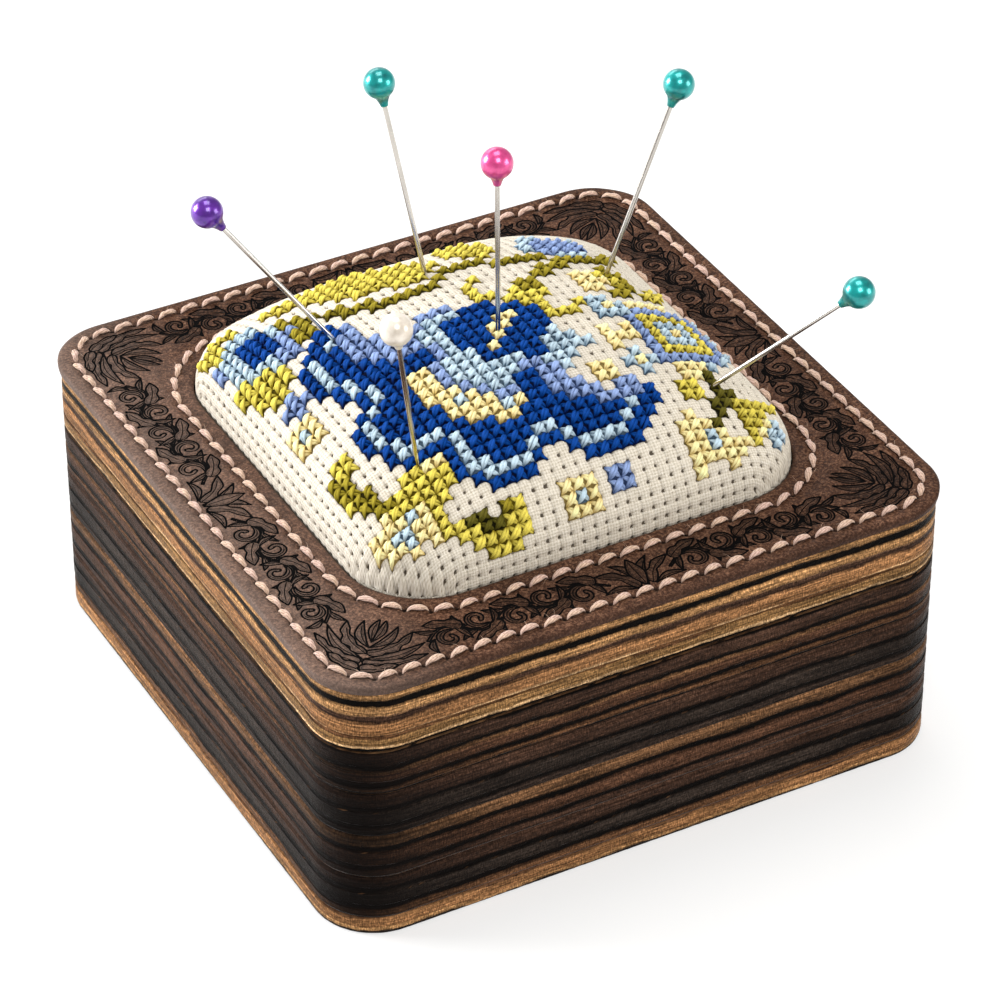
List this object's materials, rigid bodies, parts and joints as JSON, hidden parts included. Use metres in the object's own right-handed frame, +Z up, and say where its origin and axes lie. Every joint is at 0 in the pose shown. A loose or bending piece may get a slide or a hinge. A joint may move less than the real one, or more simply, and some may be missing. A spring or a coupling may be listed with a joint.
{
  "type": "pin cushion",
  "caption": "Square stacked-plywood box with a lift-off lid; a leather ring frames a domed cross-stitched cushion that holds ball-head pins.",
  "frame": {"origin": "centre of the underside of the base board", "axes": "+Z up; the sides run along X and Y; the bottom of the embroidered motif faces -Y"},
  "size_m": [0.084, 0.084, 0.0779],
  "materials": {
    "box_plywood": "satin",
    "lid_plywood": "satin",
    "leather": "semi-matt",
    "leather_thread": "matt",
    "card": "matt",
    "stuffing": "matt",
    "aida_cloth": "matt",
    "floss": "matt",
    "pin_steel": "polished",
    "pearl_purple": "pearl",
    "pearl_teal": "pearl",
    "pearl_pink": "pearl",
    "pearl_white": "pearl"
  },
  "bodies": {
    "box": {"base_board": "box_plywood", "box_frame_1": "box_plywood", "box_frame_2": "box_plywood", "box_frame_3": "box_plywood", "box_frame_4": "box_plywood"},
    "lid": {"lid_locator": "lid_plywood", "lid_board": "lid_plywood", "lid_frame": "lid_plywood", "leather_ring": "leather", "outer_stitches": "leather_thread", "inner_stitches": "leather_thread", "backing_card": "card", "stuffing": "stuffing", "aida_cover": "aida_cloth", "embroidery": "floss"},
    "pin_purple": {"pin_shaft_purple": "pin_steel", "pin_head_purple": "pearl_purple"},
    "pin_teal_back": {"pin_shaft_teal_back": "pin_steel", "pin_head_teal_back": "pearl_teal"},
    "pin_pink": {"pin_shaft_pink": "pin_steel", "pin_head_pink": "pearl_pink"},
    "pin_white": {"pin_shaft_white": "pin_steel", "pin_head_white": "pearl_white"},
    "pin_teal_right": {"pin_shaft_teal_right": "pin_steel", "pin_head_teal_right": "pearl_teal"},
    "pin_teal_front": {"pin_shaft_teal_front": "pin_steel", "pin_head_teal_front": "pearl_teal"}
  },
  "joints": [
    {"name": "lid_lift", "type": "slide", "parent": "box", "child": "lid", "axis": [0, 0, 1], "range_m": [0, 0.035]},
    {"name": "pin_purple_pull", "type": "slide", "parent": "lid", "child": "pin_purple", "axis": [-0.5631, 0.2275, 0.7944], "range_m": [0, 0.0197]},
    {"name": "pin_teal_back_pull", "type": "slide", "parent": "lid", "child": "pin_teal_back", "axis": [-0.1191, 0.2106, 0.9703], "range_m": [0, 0.018]},
    {"name": "pin_pink_pull", "type": "slide", "parent": "lid", "child": "pin_pink", "axis": [-0.022, -0.0314, 0.9993], "range_m": [0, 0.0195]},
    {"name": "pin_white_pull", "type": "slide", "parent": "lid", "child": "pin_white", "axis": [-0.2033, -0.1984, 0.9588], "range_m": [0, 0.02]},
    {"name": "pin_teal_right_pull", "type": "slide", "parent": "lid", "child": "pin_teal_right", "axis": [0.3471, -0.0322, 0.9373], "range_m": [0, 0.017]},
    {"name": "pin_teal_front_pull", "type": "slide", "parent": "lid", "child": "pin_teal_front", "axis": [0.5077, -0.5113, 0.6934], "range_m": [0, 0.02]}
  ]
}
